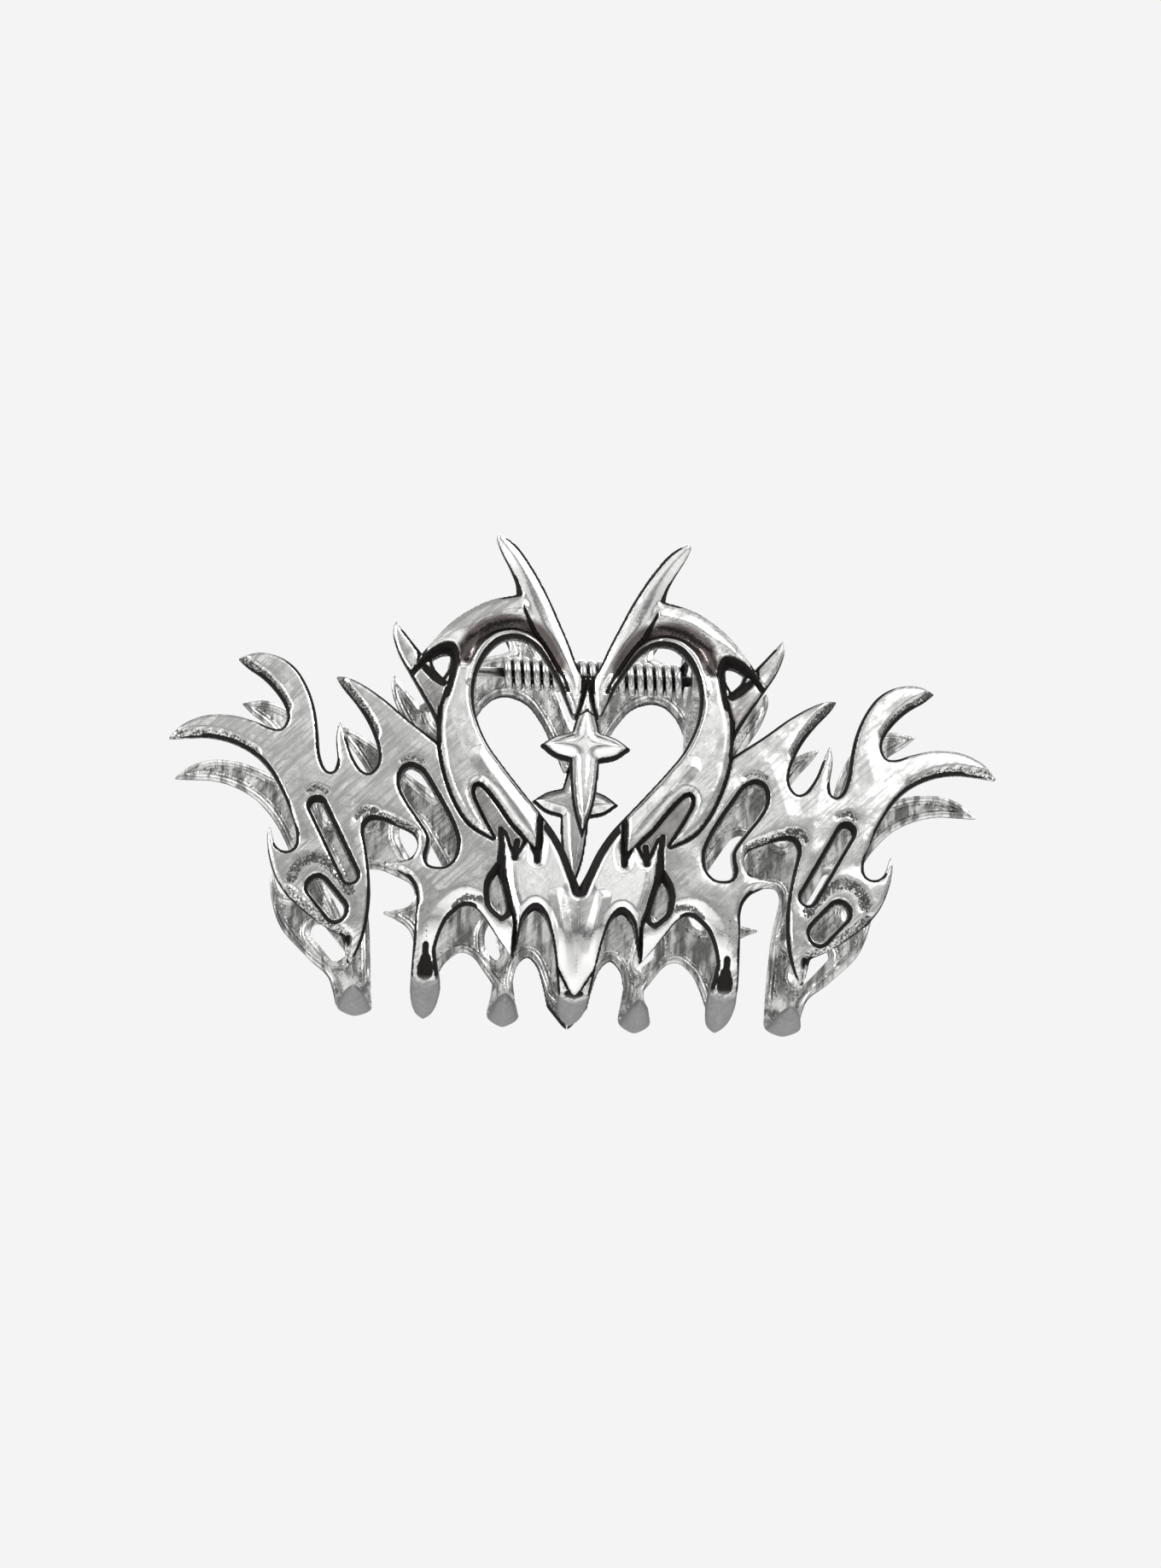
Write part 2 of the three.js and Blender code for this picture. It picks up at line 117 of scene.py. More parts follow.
OUTER_ARCH = [(16.7, -37.4), (16.2, -35.6), (15.2, -33.7), (13.4, -32.3), (11.9, -32.8),
              (10.6, -34.3), (9.2, -36.1)]
INNER_PRONG = (7.4, -38)
INNER_ARCH = [(6.9, -35.8), (6.4, -33.6), (5.2, -32.3), (4.1, -33.1), (3.1, -35.4), (2.5, -37.6)]
MIDDLE_PRONG = (0, -40.8)

HEART_LOBE = [(0, -8.6), (1.5, -8.9), (2.4, -7.2), (3.4, -5), (4.6, -2.8), (6, -0.8), (7.4, 0.3),
              (9, 0.7), (10.6, 0.3), (11.9, -0.9), (12.9, -2.7), (13.5, -5), (13.5, -7.5),
              (12.9, -10), (11.6, -12.8), (9.6, -15.5), (7.4, -18.2), (5, -21)]
HEART_POINT = [(5, -21), (3.5, -22.8), (2, -25.2), (0.95, -27.6), (0, -30)]
CROSS = [[(0, -4.4), (0.8, -7.4), (1.7, -10.9)], [(1.7, -10.9), (3.6, -11.5), (5.4, -12.7)],
         [(5.4, -12.7), (3.7, -14), (1.8, -14.5)], [(1.8, -14.5), (1.6, -17.5), (1.1, -20.6), (0, -24)]]

BEAN_WINDOW = [[(20.4, -15.7), (19.1, -16.4), (17.6, -18.6), (16.2, -20.9), (15.1, -23),
                (14.5, -24.9), (14.8, -26.8), (15.8, -27.9), (17, -28.1), (18, -27.8),
                (18.4, -26.8), (18.1, -25.4), (18.2, -24.2), (19.6, -22.1), (20.9, -20.3),
                (21.8, -18.6), (21.9, -17.1), (21.3, -16), (20.4, -15.7)]]
LENS_WINDOW = [[(9.6, -27.6), (10.6, -29.2), (10.8, -30.8), (10.4, -32.4), (9, -33.7)],
               [(9, -33.7), (8.3, -33), (8.6, -31), (9.6, -27.6)]]
ARC_WINDOW = [[(19, -2.2), (17.6, -1.4), (16.2, -1.3)], [(16.2, -1.3), (16.3, -3), (17.2, -4.9)],
              [(17.2, -4.9), (18.4, -3.6), (19, -2.2)]]
SLOT_WINDOW = ((31.4, -21.2), (27.1, -29.4), 1.0)
OVAL_WINDOW = ((30.8, -31), (28.6, -33.5), 1.35)


# ------------------------------------------------------------------ raised bands

RING = [[(0.9, -7.9), (0.6, -6), (0.6, -4.2)], [(0.6, -4.2)] + HORN[2:], HORN_TIP, HORN_BACK,
        ARC_TOP, [(19.9, -1.9), (20.8, -4)],
        [(20.8, -4), (19.2, -2.3), (17.8, -1.2), (16.5, -1)],
        [(16.5, -1), (15.9, -2.6), (16.5, -6), (17.3, -9.4), (17.2, -13), (16.5, -16.4),
         (15.1, -20), (13.2, -22.7), (10.5, -24.3)],
        [(10.5, -24.3), (12, -21.8), (13.2, -19.3), (13, -18), (12, -17.9), (10.2, -19.8),
         (8, -22.7), (5.2, -25.6)],
        [(5.2, -25.6), (5, -23.5), (5, -21)], HEART_LOBE[:0:-1] + [(0.9, -7.9)]]
CREST = [HEART_POINT[:0:-1] + [(4.8, -21.4)],
         [(4.8, -21.4), (4.7, -24.5), (5.1, -27), (6.3, -24.4)],
         [(6.3, -24.4), (7.8, -26.5), (9.2, -23.7)],
         [(9.2, -23.7), (9, -26), (8.7, -29), (8.1, -31.4), (7.4, -33.4)],
         [(7.4, -33.4), (7.2, -35), (7.4, -38)],
         [(7.4, -38), (6.9, -35.8)], INNER_ARCH, [(2.5, -37.6), (0, -41.2)]]
HORN_BAND = [HORN[2:], HORN_TIP, HORN_BACK,
             [(8.6, 6.2), (7.9, 4.6), (7.1, 3), (6.3, 1.4), (5, -0.4), (3.9, -2.2), (2.6, -4.6),
              (1.5, -7.8)],
             [(1.5, -7.8), (0.7, -5), (1.5, -2.2)]]

# Creases of the ring and of the crest as (line, width, rise); a negative rise is a groove
RING_CREASES = [([(12.6, -14.6), (10.8, -17), (8.5, -19.8), (6.3, -22.6), (5.3, -25.2)], 1.2, 0.3),
                ([(20.2, -3.2), (18.3, -1.1), (16.5, 0.6), (14.2, 1.9), (12.2, 3.2), (10.2, 3.9),
                  (8.4, 4.3)], 1.3, 0.5),
                (HEART_LOBE[7:], 0.75, -0.35),
                (HEART_LOBE[3:12], 1.2, 0.5)]
CREST_CREASES = [([(0, -31), (0, -38.5)], 2.2, -0.5),
                 ([(2.7, -31), (1.6, -35.5), (0.7, -40)], 1.0, 0.25)]
TROUGH = [(14.9, -2), (13.8, 0.3), (11.6, 2), (9.2, 2.4), (6.8, 1.7), (5, -0.4), (3.8, -2.8)]
TROUGH_WIDTH = 1.7


# ------------------------------------------------------------------ grooves and blackened lines

# Bevelled edges, and grooves stippled black, both as (line, width, depth, how black)
BEVELS = [(WING_UPPER_LOW[:5], 1.0, 0.7, 0.8),
          (WING_MIDDLE_LOW[:5], 0.9, 0.7, 0.8),
          (WING_LOWER_LOW[:5], 1.0, 0.6, 0.6),
          (LEAF_EDGE, 1.3, 0.8, 0.6),
          (BAY[4:8], 1.0, 0.6, 0.7),
          (OUTER_ARCH, 1.9, 0.55, 0.0),
          (INNER_ARCH, 0.9, 0.5, 0.0),
          (LEAF_INNER, 0.7, 0.4, 0.2),
          (SPLASH, 0.8, 0.4, 0.2),
          (ARC_TOP, 0.8, 0.4, 0.0)]
STIPPLED = [([(33.9, -30), (33.2, -28.4), (31.6, -27.6), (30, -28), (28.5, -29.3), (27.1, -31.2)],
             1.1, 0.15, 0.8),
            ([(26.6, -22.6), (26, -21.6), (24.4, -21.6)], 0.6, 0.2, 0.8),
            ([(32.4, -19.6), (31.6, -19), (30.4, -19.5)], 0.6, 0.15, 0.7),
            ([(21.6, -15.4), (20.4, -14.9), (19.2, -15.4)], 0.5, 0.1, 0.7),
            ([(14.6, -32.6), (13.2, -31.5), (11.6, -31.6)], 0.6, 0.1, 0.9),
            ([(6.9, -32.2), (5.6, -31.2), (4.2, -31.6), (3.3, -32.8)], 0.6, 0.1, 0.9),
            ([(17.75, -32.4), (17.8, -37.4)], 0.28, 0.05, 0.5),
            ([(12.9, -17.3), (10.6, -19.2), (8.2, -22)], 0.5, 0.0, 0.8)]
LEAF_GROOVE = [(26.85, -36.4), (26.85, -39.2)]

# Black channels as (line, width): around the arc's window, in the hooks, the drop and the middle tooth
CHANNELS = [([(21, -4.4), (19.4, -2.4), (17.6, -1.1), (16.1, -1), (15.9, -3), (16.7, -7)], 0.5),
            ([(19.4, -3.6), (18.3, -4.7), (17.2, -5.4)], 0.6),
            ([(17.4, -8.6), (17.5, -12.5)], 0.4),
            ([(5, -21.6), (5.15, -26.9)], 0.5),
            ([(7.6, -24.6), (7.8, -26.7)], 0.5),
            ([(9.6, -23.2), (9.5, -25), (9.6, -27.8)], 0.4),
            ([(17.75, -36.8), (17.7, -38.4)], 0.5),
            ([(17.7, -38.3), (17.7, -39.4)], 0.9),
            ([(17.7, -39.1), (17.7, -39.8)], 1.3),
            ([(0, -41.6), (0.5, -41.6)], 0.9)]

# Tinted hollows: beside the ring under the barb, between the ring's hooks, and down the crest's middle
BARB_SHADE = [(18.5, -5.6), (17.9, -8.5), (17.5, -11.5)]
HOOK_FLOOR = [[(12.6, -18), (11, -18.6), (9, -21.3), (6.5, -24.4)],
              [(6.5, -24.4), (7.8, -26.5), (10, -24.3)],
              [(10, -24.3), (11.6, -21.8), (12.9, -19.4), (12.6, -18)]]
CREST_SHADE = [(0, -31.5), (0, -37.5)]


# ------------------------------------------------------------------ curves

def spline(points, step=0.3):
    """Smooth curve through the points (uniform Catmull-Rom)."""
    p = np.array(points, float)
    before = np.vstack([p[:1], p[:-2]])
    after = np.vstack([p[2:], p[-1:]])
    out = []
    for p0, p1, p2, p3 in zip(before, p[:-1], p[1:], after):
        count = max(1, int(np.linalg.norm(p2 - p1) / step)) if len(p) > 2 else 1
        t = (np.arange(count) / count)[:, None]
        m1, m2 = (p2 - p0) / 2, (p3 - p1) / 2
        cubic = (2 * p1 - 2 * p2 + m1 + m2) * t ** 3
        square = (-3 * p1 + 3 * p2 - 2 * m1 - m2) * t ** 2
        out.append(cubic + square + m1 * t + p1)
    return np.vstack(out + [p[-1:]])


def path(strokes):
    """One curve through several strokes, with a corner wherever two of them meet."""
    curves = [spline(stroke) for stroke in strokes]
    return np.vstack([curve[:-1] for curve in curves[:-1]] + curves[-1:])


def stadium(start, end, radius):
    """Closed outline of a slot with round ends about two points."""
    (x0, y0), (x1, y1) = start, end
    along = math.atan2(y1 - y0, x1 - x0)
    turn = np.linspace(math.pi / 2, math.pi * 1.5, 24)
    arc = np.column_stack([radius * np.cos(along + turn), radius * np.sin(along + turn)])
    first = arc + (x0, y0)
    second = (x1, y1) - arc
    return np.vstack([first, second, first[:1]])


# ------------------------------------------------------------------ fields on the grid

def inside(polygon):
    """Even-odd test of every grid point."""
    hits = np.zeros(UU.shape, bool)
    ends = np.roll(polygon, -1, axis=0)
    for (x0, y0), (x1, y1) in zip(polygon, ends):
        if y0 == y1:
            continue
        rows = (V > min(y0, y1)) & (V <= max(y0, y1))
        cut = x0 + (V[rows] - y0) * (x1 - x0) / (y1 - y0)
        hits[:, rows] ^= U[:, None] < cut[None, :]
    return hits


def distance(points, reach=4.0):
    """Distance of every grid point from an open line, up to a reach."""
    far = np.full(UU.shape, reach)
    for a, b in zip(points[:-1], points[1:]):
        low, high = np.minimum(a, b) - reach, np.maximum(a, b) + reach
        i0, i1 = np.searchsorted(U, [low[0], high[0]])
        j0, j1 = np.searchsorted(V, [low[1], high[1]])
        if i0 == i1 or j0 == j1:
            continue
        px, py = UU[i0:i1, j0:j1] - a[0], VV[i0:i1, j0:j1] - a[1]
        d = b - a
        t = np.clip((px * d[0] + py * d[1]) / max(d @ d, 1e-12), 0, 1)
        gap = np.hypot(px - t * d[0], py - t * d[1])
        far[i0:i1, j0:j1] = np.minimum(far[i0:i1, j0:j1], gap)
    return far


def signed(outline):
    """Distance from a closed outline, positive inside."""
    gap = distance(outline)
    return np.where(inside(outline), gap, -gap)


def signed_across(half):
    """Distance from an outline that is closed by its own mirror image, positive inside."""
    gap = distance(half)
    return np.where(inside(np.vstack([half, half[::-1] * (-1, 1)])), gap, -gap)


def soft_min(a, b, radius):
    """Minimum of two heights with a rounded corner."""
    h = np.clip(0.5 + 0.5 * (b - a) / radius, 0, 1)
    return b * (1 - h) + a * h - radius * h * (1 - h)


def soft_max(a, b, radius):
    """Maximum of two heights with a rounded corner."""
    return -soft_min(-a, -b, radius)


def ramp(x, low, high):
    """Smooth step from 0 at the low end to 1 at the high end."""
    t = np.clip((x - low) / (high - low), 0, 1)
    return t * t * (3 - 2 * t)


def shoulder(region, reach, radius):
    """0 at a region's edge, growing to a flat 1 at a distance inside it, with a rounded corner."""
    return soft_min(region / reach, np.ones_like(region), radius)


def crowned(region, edge, rise, reach, radius):
    """Height of a band that rises from its edge to a flat crown."""
    return edge + rise * shoulder(region, reach, radius)


def blurred(field, radius):
    """Box blur, twice; the values at the grid's edge go on beyond it."""
    n = int(round(radius / CELL))
    for _ in range(2):
        for axis in (0, 1):
            pad = [(0, 0), (0, 0)]
            pad[axis] = (n + 1, n)
            total = np.cumsum(np.pad(field, pad, mode="edge"), axis=axis)
            length = field.shape[axis]
            upper = np.take(total, np.arange(2 * n + 1, 2 * n + 1 + length), axis=axis)
            lower = np.take(total, np.arange(length), axis=axis)
            field = (upper - lower) / (2 * n + 1)
    return field


def near(line, width):
    """1 on a line, falling to 0 at the given distance from it."""
    return np.clip(1 - distance(spline(line), width) / width, 0, 1)


def lumpy(radius, seed):
    """Smooth random waves of unit size, as left by hand carving."""
    waves = blurred(np.random.default_rng(seed).standard_normal(UU.shape), radius)
    return waves / waves.std()


# ------------------------------------------------------------------ the jaw's silhouette

def tooth(middle, start, end=None, waist=()):
    """Outline of a tooth from one root round its tip to the other; with no end, half a tooth."""
    flank = [(middle + TOOTH_HALF_WIDTH[middle] * share, v) for share, v in TOOTH_FLANK]
    half = [start, *waist, *flank, (middle, TOOTH_TIP)]
    if end is None:
        return [half]
    return [half + [(2 * middle - x, y) for x, y in reversed(flank)] + [end]]


def silhouette(teeth):
    """Right-half outline of a jaw, from the middle line at the horns to the middle line at the teeth."""
    leaf = [LEAF_EDGE, LEAF_SPIKE, LEAF_INNER]
    side = [[SPLASH[-1], SIDE_PRONG], [SIDE_PRONG, OUTER_ARCH[0]]]
    inner = [[OUTER_ARCH[-1], INNER_PRONG], [INNER_PRONG, INNER_ARCH[0]]]
    centre = [[INNER_ARCH[-1], MIDDLE_PRONG]]
    if LEAF_TOOTH in teeth:
        leaf = tooth(LEAF_TOOTH, LEAF_OUTER[-1], LEAF_INNER[-1], LEAF_WAIST)
    if SIDE_TOOTH in teeth:
        side = tooth(SIDE_TOOTH, SPLASH[-1], OUTER_ARCH[0])
    if INNER_TOOTH in teeth:
        inner = tooth(INNER_TOOTH, OUTER_ARCH[-1], INNER_ARCH[0])
    if MIDDLE_TOOTH in teeth:
        centre = tooth(MIDDLE_TOOTH, INNER_ARCH[-1])
    wing = [WING_UPPER_TOP, WING_UPPER_LOW, WING_MIDDLE_TOP, WING_MIDDLE_LOW, WING_LOWER_LOW]
    return path([HORN, HORN_TIP, HORN_BACK, ARC_TOP, BARB_TOP, BARB_LOW, *wing, LEAF_OUTER, *leaf,
                 BAY, SPLASH, *side, OUTER_ARCH, *inner, INNER_ARCH, *centre])


class Pattern:
    """Regions of the flattened jaw as signed distances on the grid, positive inside."""

    def __init__(self, teeth):
        self.lens = signed(path(LENS_WINDOW))
        windows = [self.lens] + [signed(path(outline)) for outline in (BEAN_WINDOW, ARC_WINDOW)]
        windows += [signed(stadium(*slot)) for slot in (SLOT_WINDOW, OVAL_WINDOW)]
        self.window = np.maximum.reduce(windows)
        heart = signed_across(path([HEART_LOBE, HEART_POINT]))
        self.outer = np.minimum(signed_across(silhouette(teeth)), -heart)
        self.body = np.minimum(self.outer, -self.window)
        self.cross = signed_across(path(CROSS))
        self.crest = signed_across(path(CREST))
        self.ring = signed(path(RING))
        self.horn = signed(path(HORN_BAND))
        self.chamfer = near(HEART_POINT[1:], 1.3)
        self.below_root = -VV - (TOOTH_ROOT + MIDDLE_TOOTH_DROP * ramp(-UU, -5, -3))
        self.on_tooth = ramp(self.below_root, 0, 2.5)
        self.hollow = ramp(np.minimum(self.body, 1.2), 0.5, 1.0) * (1 - self.on_tooth)
        # How much metal lies around, edges that face the middle or are crowded, and their wall's slope
        self.crowded = blurred((self.body > 0).astype(float), 1.2)
        facing_middle = ramp(np.gradient(self.body, CELL, axis=0), 0.2, 0.8)
        self.tight = np.maximum(facing_middle, ramp(self.crowded, 0.52, 0.64))
        self.flare = 0.3 * self.tight * ramp(self.crowded, 0.4, 0.6)


# ------------------------------------------------------------------ the jaw's relief

def plate(pattern):
    """Height of the casting between its raised bands, and how densely its grooves are stippled."""
    height = crowned(pattern.body, edge=1.5, rise=0.25, reach=0.45, radius=0.3)
    height += 0.25 * shoulder(pattern.body, reach=4, radius=0.5)
    height += 0.03 * lumpy(0.9, seed=3)
    stain = np.zeros_like(height)
    for grooves, faint, full in ((BEVELS, 0.05, 0.35), (STIPPLED, 0.0, 0.6)):
        for line, width, depth, black in grooves:
            share = near(line, width)
            height -= depth * share
            stain = np.maximum(stain, black * ramp(share, faint, full))
    return height - 0.6 * near(LEAF_GROOVE, 0.4), stain


def creased(height, creases):
    """The height with its raised and sunken creases."""
    for line, width, rise in creases:
        height = height + rise * near(line, width)
    return height


def ring_band(ring):
    """Height of the heart-shaped ring, with a trough along each arc."""
    band = crowned(ring, edge=2.05, rise=0.55, reach=0.6, radius=0.4) + 0.03 * lumpy(0.7, seed=5)
    return creased(band, RING_CREASES) - 0.7 * ramp(near(TROUGH, TROUGH_WIDTH), 0.0, 0.9)


def crest_band(crest, chamfer):
    """Height of the crest under the heart, growing towards the teeth, with a chamfer along the heart."""
    band = crowned(crest, edge=1.95, rise=0.6, reach=0.9, radius=0.3)
    slope, level_at = 0.04, -24
    return creased(band, CREST_CREASES) + slope * (level_at - VV) - 0.9 * chamfer


def horn_band(horn):
    """Height of the horns."""
    return crowned(horn, edge=2.3, rise=0.6, reach=1.1, radius=0.2)


def cross_band(cross):
    """Height of the four-pointed cross, with a blunt edge and a crest along each arm."""
    return crowned(cross, edge=1.8, rise=1.1, reach=0.9, radius=0.6) + 0.35 * shoulder(cross, 1.75, 0.05)


def laid_on(height, region, band, radius):
    """The height with a raised band over its own region."""
    return np.where(region > 0, soft_max(height, band, radius), height)


def outer_face(pattern):
    """Height of the outer face above the teeth, before its black lines are cut, and its stipple."""
    height, stain = plate(pattern)
    height = laid_on(height, pattern.ring, ring_band(pattern.ring), 0.12)
    height = laid_on(height, pattern.horn, horn_band(pattern.horn), 0.1)
    height = laid_on(height, pattern.crest, crest_band(pattern.crest, pattern.chamfer), 0.12)
    height = np.where(pattern.cross > 0, np.maximum(height, cross_band(pattern.cross)), height)
    raised = np.maximum.reduce([pattern.ring, pattern.horn, pattern.crest])
    return height, np.where(raised > 0, 0, stain)


def tooth_face(pattern):
    """Height of the teeth, round across, the outer ones a little flatter."""
    edge, rise, flatter = 0.55, 1.45, 0.4
    rise = rise - flatter * ramp(UU, 20, 23)
    return edge + rise * np.sqrt(np.clip(shoulder(pattern.body, 1.9, 0.3), 0, 1))


def inner_face(pattern):
    """Height of the inner face: hollow inside a narrow rim, and bellied under the cross."""
    rim = 0.12 * (1 - np.sqrt(np.clip(pattern.body / 0.4, 0, 1)))
    face = rim + 0.45 * pattern.hollow + pattern.on_tooth * 0.25
    belly = 0.9 - 1.1 * shoulder(np.maximum(pattern.cross, 0), 1.2, 0.4)
    return np.where(pattern.cross > pattern.body, belly, face)


# ------------------------------------------------------------------ where the jaw is dark, tinted or bare, and where shade and highlight are painted

def tint(pattern):
    """The brown shade that lies in the hollows."""
    trough = ramp(near(TROUGH, TROUGH_WIDTH), 0.1, 0.6)
    shade = np.where(pattern.ring > 0, trough, 0.6 * near(BARB_SHADE, 1.8))
    floor = 0.6 * ramp(signed(path(HOOK_FLOOR)), -0.2, 0.2) * (pattern.ring < 0)
    return np.where(pattern.crest > 0, 0.45 * near(CREST_SHADE, 1.7), np.maximum(shade, floor))


def buffed_and_painted_highlight(pattern):
    """The raised parts that are buffed bright, and a painted highlight along the outer arch's bevel."""
    parts = [ramp(part, 0.1, 0.4) for part in (pattern.crest, pattern.horn, pattern.cross)]
    beside_heart = ramp(-distance(spline(HEART_LOBE), 6), -3.2, -1.5)
    parts.append(ramp(pattern.ring, 0.1, 0.5) * beside_heart)
    # Painted highlight on the bevel beside the outer arch
    parts.append(ramp(near(OUTER_ARCH, 2.2), 0.05, 0.35))
    return np.maximum.reduce(parts)


def cut_lines(pattern):
    """The cracks along the raised parts, and the channels."""
    ring = np.where(VV < -6, pattern.ring, NOWHERE)
    horn = np.where(UU < 8, pattern.horn, NOWHERE)
    raised = np.maximum.reduce([ring, pattern.crest, horn, pattern.cross])
    crack = ramp(raised, -0.5, -0.3) * (raised < 0)
    channels = [ramp(near(line, width), 0.1, 0.45) for line, width in CHANNELS]
    return np.maximum.reduce([crack] + channels)


def recesses(pattern, height, lines):
    """Where the outer face is black: cut lines, dips, rims, and around the cross and the heart; the rims
    are partly painted shade, widest on edges that face the middle.
    """
    dip = np.clip((blurred(height, 0.6) - height) / 0.25, 0, 1)
    # Black rims along crowded edges, partly antique black and partly painted shade, widened where an edge
    # faces the middle
    rim_width = 0.12 + 0.24 * pattern.tight
    rim = ramp(rim_width - np.abs(pattern.outer), -0.06, 0.06) * ramp(pattern.crowded, 0.28, 0.4)
    window_rim = ramp(np.maximum(pattern.window, pattern.lens + 0.25), -0.36, -0.24)
    cross_side = ramp(-pattern.cross, -0.45, -0.25) * (pattern.cross > 0)
    heart_edge = ramp(pattern.chamfer, 0.12, 0.3) * (pattern.cross < 0)
    black = np.maximum.reduce([dip, rim, window_rim, lines, cross_side, heart_edge])
    return black * (1 - pattern.on_tooth)


def wall_black_and_shade(pattern):
    """Where the side walls are black: deep in the lace, and as painted shade on the walls that don't look
    up.
    """
    # Walls that face up stay bright; the rest get painted shade
    facing_up = ramp(-np.gradient(pattern.body, CELL, axis=1), 0.2, 0.7)
    black = np.maximum(ramp(pattern.crowded, 0.56, 0.68), 0.55 * (1 - facing_up))
    return black * ramp(pattern.crowded, 0.3, 0.42) * (1 - pattern.on_tooth)


def relief(pattern):
    """Outer height of the jaw on the grid, and its marks."""
    height, stain = outer_face(pattern)
    lines = cut_lines(pattern)
    marks = {"black_and_painted_shade": recesses(pattern, height, lines),
             "wall": wall_black_and_shade(pattern),
             "stain": stain * (1 - pattern.on_tooth),
             "shade": tint(pattern),
             "polish_and_highlight": buffed_and_painted_highlight(pattern),
             "trench": pattern.hollow * (1 - ramp(pattern.body, 1.1, 1.8)),
             "tooth": ramp(pattern.below_root, 0.5, 2),
             "inner": ramp(-pattern.cross, 0, 0.3)}
    height = (height - 0.3 * lines) * (1 - pattern.on_tooth) + tooth_face(pattern) * pattern.on_tooth
    return height, marks


# ------------------------------------------------------------------ bending the flat jaw

def profile(along):
    """Place and lean of the side profile at distances from the hinge's height, positive upwards."""
    out = np.full(along.shape, HALF_GAP)
    up = np.zeros_like(out)
    angle = np.zeros_like(out)
    for arcs, heading in ((RISE, 1.0), (DROP, -1.0)):
        left = np.clip(along * heading, 0, None)
        for length, turn in arcs:
            run = np.minimum(left, length)
            swing = math.radians(turn) * run / length
            chord = run * np.sinc(swing / 2 / math.pi)
            out += heading * chord * np.sin(angle + swing / 2)
            up += heading * chord * np.cos(angle + swing / 2)
            angle += swing
            left -= run
    return out, up, angle


def bend(points):
    """Flat pattern (across, along the profile, above the inner face) to the front jaw, in metres."""
    across, along, above = points.T
    out, up, angle = profile(along)
    bow = BOW * (np.abs(across) / HALF_WIDTH) ** BOW_POWER
    y = bow - out - above * np.cos(angle)
    z = up - above * np.sin(angle) + HINGE_HEIGHT
    return np.column_stack([across, y, z]) * MM


def looked_up(field, points):
    """Value of a half-grid field at flat points, by bilinear weights."""
    i = np.clip(np.abs(points[:, 0]) / CELL, 0, len(U) - 1.001)
    j = np.clip((points[:, 1] - V_LOW) / CELL, 0, len(V) - 1.001)
    i0, j0 = i.astype(int), j.astype(int)
    a, b = i - i0, j - j0
    low = field[i0, j0] * (1 - a) + field[i0 + 1, j0] * a
    high = field[i0, j0 + 1] * (1 - a) + field[i0 + 1, j0 + 1] * a
    return low * (1 - b) + high * b


# ------------------------------------------------------------------ the jaws

def add_mesh(name, vertices, faces, smooth=True):
    """New mesh object in the scene."""
    mesh = bpy.data.meshes.new(name)
    mesh.from_pydata([tuple(v) for v in vertices], [], [tuple(f) for f in faces])
    mesh.update()
    mesh.polygons.foreach_set("use_smooth", [smooth] * len(mesh.polygons))
    obj = bpy.data.objects.new(name, mesh)
    bpy.context.scene.collection.objects.link(obj)
    return obj


def add_values(obj, name, values):
    """One number per vertex, which the materials read by its name."""
    attribute = obj.data.attributes.new(name, "FLOAT", "POINT")
    attribute.data.foreach_set("value", np.asarray(values, dtype=np.float32))


def solid_field(pattern, height, floor):
    """Level set of the whole casting, positive inside, as a stack of levels over the flat pattern."""
    layers = []
    for level in LEVELS:
        taper = 1 - min(max(level / PLATE, 0), 1)
        plan = np.minimum(pattern.outer + pattern.flare * taper, DRAFT * taper - pattern.window)
        plan = soft_max(plan, pattern.cross, 0.05)
        layers.append(soft_min(plan, soft_min(height - level, level - floor, ROUNDING), ROUNDING))
    half = np.stack(layers, axis=2)
    return np.concatenate([half[:0:-1], half], axis=0)


def add_marks(obj, flat, pattern, height, floor, marks):
    """The marks at each vertex, with those of the outer face kept off the walls and the inner face."""
    marks = {key: looked_up(field, flat) for key, field in marks.items()}
    metal = looked_up(np.maximum(pattern.body, pattern.cross), flat)
    floor = looked_up(floor, flat)
    depth = (flat[:, 2] - floor) / np.maximum(looked_up(height, flat) - floor, 0.5)
    front = np.maximum(ramp(depth, 0.12, 0.3), 1 - marks["inner"])
    inner = marks["inner"] * (1 - ramp(depth, 0.25, 0.5))
    top = np.maximum.reduce([ramp(depth, 0.62, 0.85), ramp(metal, 0.3, 0.5), 1 - marks["inner"]])
    # Antique black and painted shade: the face's marks near the top, the walls' painted shade below
    add_values(obj, "black_and_painted_shade", (marks["black_and_painted_shade"] * top + marks["wall"] * (1 - top)) * front)
    add_values(obj, "stain", marks["stain"] * front + 0.5 * marks["trench"] * inner * (1 - front))
    add_values(obj, "shade", marks["shade"] * front)
    add_values(obj, "polish_and_highlight", marks["polish_and_highlight"] * front)
    add_values(obj, "tooth", marks["tooth"])
    add_values(obj, "inner", inner)


def sculpted_jaw(name, teeth, turned):
    """The jaw's casting as a smooth closed mesh, cut out of a volume and then bent."""
    pattern = Pattern(teeth)
    height, marks = relief(pattern)
    floor = inner_face(pattern)
    grid = openvdb.FloatGrid(1.0)
    grid.copyFromArray(np.clip(-solid_field(pattern, height, floor), -1, 1).astype(np.float32))
    points, quads = grid.convertToQuads(isovalue=0.0)
    flat = (points - (len(U) - 1, 0, 0)) * CELL + (0, V_LOW, LEVELS[0])
    placed = bend(flat)
    if turned:
        placed[:, :2] *= -1
    obj = add_mesh(name, placed, quads)
    add_marks(obj, flat, pattern, height, floor, marks)
    return obj


# ------------------------------------------------------------------ ears, pin and spring

def joined(name, parts):
    """One object out of several."""
    bpy.ops.object.select_all(action="DESELECT")
    for part in parts:
        part.select_set(True)
    bpy.context.view_layer.objects.active = parts[0]
    bpy.ops.object.join()
    parts[0].name = name
    parts[0].select_set(False)
    return parts[0]


def rounded_edges(obj, width, segments=3):
    """Rounds an object's sharp edges to a width in millimetres."""
    bevel = obj.modifiers.new("rounded edges", "BEVEL")
    bevel.width = width * MM
    bevel.segments = segments
    bevel.limit_method = "ANGLE"
    return obj


